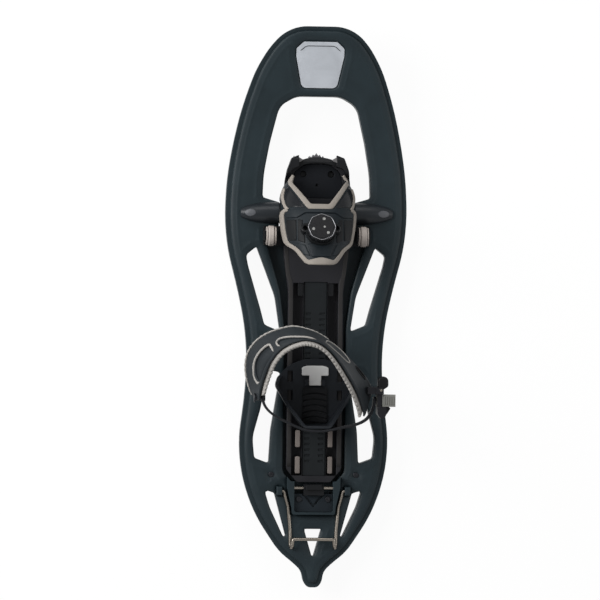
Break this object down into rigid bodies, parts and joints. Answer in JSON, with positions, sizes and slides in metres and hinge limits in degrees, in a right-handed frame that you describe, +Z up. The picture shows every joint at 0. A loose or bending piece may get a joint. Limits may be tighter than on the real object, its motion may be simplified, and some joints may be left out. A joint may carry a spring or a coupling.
{
  "type": "snowshoe",
  "caption": "Plastic snowshoe with an hourglass deck, a heel-lifting binding plate, a dial-tightened forefoot harness, a sliding heel cup with a ratchet ankle strap and a wire heel lifter.",
  "frame": {"origin": "under the middle of the deck, on the ground that the spike tips stand on", "axes": "+X to the wearer's right, +Y towards the upturned nose, +Z up"},
  "size_m": [0.2248, 0.69, 0.1388],
  "materials": {
    "deck_plastic": "moulded, fine satin grain",
    "badge_plastic": "light grey satin",
    "spike_steel": "hardened steel",
    "screw_steel": "dark zinc",
    "insert_plastic": "moulded",
    "black_plastic": "moulded",
    "wire_steel": "drawn wire",
    "cover_plastic": "moulded",
    "bush_plastic": "plain bearing",
    "binding_plastic": "moulded",
    "toe_rubber": "fine grain",
    "rack_plastic": "moulded",
    "pad_rubber": "ribbed",
    "claw_steel": "hardened steel",
    "harness_plastic": "satin",
    "trim_rubber": "soft edge",
    "dial_base_plastic": "moulded",
    "dial_plastic": "polished with a bright edge",
    "dial_gloss": "polished",
    "mark_plastic": "bright",
    "wheel_plastic": "pale satin",
    "heel_plastic": "moulded",
    "heel_rubber": "ribbed",
    "lever_plastic": "pale satin",
    "strap_rubber": "soft strap",
    "strap_plastic": "soft moulded strap",
    "liner_foam": "padded, ribbed edge",
    "buckle_plastic": "satin",
    "buckle_black": "polished",
    "ladder_plastic": "flexible, toothed"
  },
  "bodies": {
    "deck": {"deck": "deck_plastic", "nose_badge": "badge_plastic", "deck_spikes": "spike_steel", "deck_screws": "screw_steel", "insert_screws": "screw_steel", "tail_insert": "insert_plastic", "latch_bar": "wire_steel", "pivot_cover_left": "cover_plastic", "pivot_cover_right": "cover_plastic", "pivot_axle": "wire_steel"},
    "binding": {"binding_plate": "binding_plastic", "pivot_bushes": "bush_plastic", "toe_plate": "toe_rubber", "toe_bumper": "black_plastic", "size_rack": "rack_plastic", "sole_pads": "pad_rubber", "channel_tabs": "black_plastic", "front_claw": "claw_steel", "claw_rivets": "claw_steel", "harness_shell": "harness_plastic", "harness_front_trim": "trim_rubber", "harness_rear_trim": "trim_rubber", "dial_base": "dial_base_plastic", "side_bracket_left": "black_plastic", "side_bracket_right": "black_plastic", "wheel_pin_left": "screw_steel", "wheel_pin_right": "screw_steel"},
    "dial_lift": {"dial_spindle": "black_plastic"},
    "dial": {"dial_knob": "dial_plastic", "dial_window": "dial_gloss", "dial_marks": "mark_plastic"},
    "wheel_left": {"side_wheel_left": "wheel_plastic"},
    "wheel_right": {"side_wheel_right": "wheel_plastic"},
    "heel_unit": {"heel_base": "heel_plastic", "heel_cup": "heel_plastic", "heel_pad": "heel_rubber", "heel_band": "strap_rubber", "strap_rivets": "screw_steel", "lever_pin": "screw_steel"},
    "lock": {"lock_lever": "lever_plastic"},
    "ankle": {"ankle_strap": "strap_plastic", "ankle_liner": "liner_foam", "buckle_body": "buckle_plastic", "buckle_pin": "screw_steel", "ladder_strap": "ladder_plastic"},
    "buckle": {"buckle_lever": "buckle_black"},
    "lifter": {"heel_lifter": "wire_steel"},
    "latch": {"tail_latch": "black_plastic"}
  },
  "joints": [
    {"name": "binding_pivot", "type": "hinge", "parent": "deck", "child": "binding", "pos_m": [0, 0.117, 0.034], "axis": [-1, 0, 0], "range_deg": [0, 60]},
    {"name": "dial_pull", "type": "slide", "parent": "binding", "child": "dial_lift", "axis": [0, 0.3256, 0.9455], "range_m": [0, 0.003]},
    {"name": "dial_turn", "type": "hinge", "parent": "dial_lift", "child": "dial", "pos_m": [0, 0.0935, 0.10449], "axis": [0, 0.3256, 0.9455], "continuous": true},
    {"name": "wheel_left_turn", "type": "hinge", "parent": "binding", "child": "wheel_left", "pos_m": [-0.057, 0.0885, 0.0475], "axis": [1, 0, 0], "continuous": true},
    {"name": "wheel_right_turn", "type": "hinge", "parent": "binding", "child": "wheel_right", "pos_m": [0.057, 0.0885, 0.0475], "axis": [1, 0, 0], "continuous": true},
    {"name": "size_slide", "type": "slide", "parent": "binding", "child": "heel_unit", "axis": [0, 1, 0], "range_m": [-0.035, 0.042]},
    {"name": "lock_lift", "type": "hinge", "parent": "heel_unit", "child": "lock", "pos_m": [0, -0.0925, 0.0409], "axis": [1, 0, 0], "range_deg": [0, 38], "stiffness_Nm_per_rad": 0.02, "springref_deg": -28.65},
    {"name": "ankle_tilt", "type": "hinge", "parent": "heel_unit", "child": "ankle", "pos_m": [0, -0.11, 0.082], "axis": [1, 0, 0], "range_deg": [-12, 8]},
    {"name": "buckle_release", "type": "hinge", "parent": "ankle", "child": "buckle", "pos_m": [0.0765, -0.099, 0.086], "axis": [0, 0, -1], "range_deg": [0, 35], "stiffness_Nm_per_rad": 0.01, "springref_deg": -28.65},
    {"name": "lifter_swing", "type": "hinge", "parent": "deck", "child": "lifter", "pos_m": [0, -0.226, 0.0352], "axis": [-1, 0, 0], "range_deg": [0, 100]},
    {"name": "latch_tip", "type": "hinge", "parent": "deck", "child": "latch", "pos_m": [0, -0.222, 0.037], "axis": [-1, 0, 0], "range_deg": [0, 35]}
  ]
}
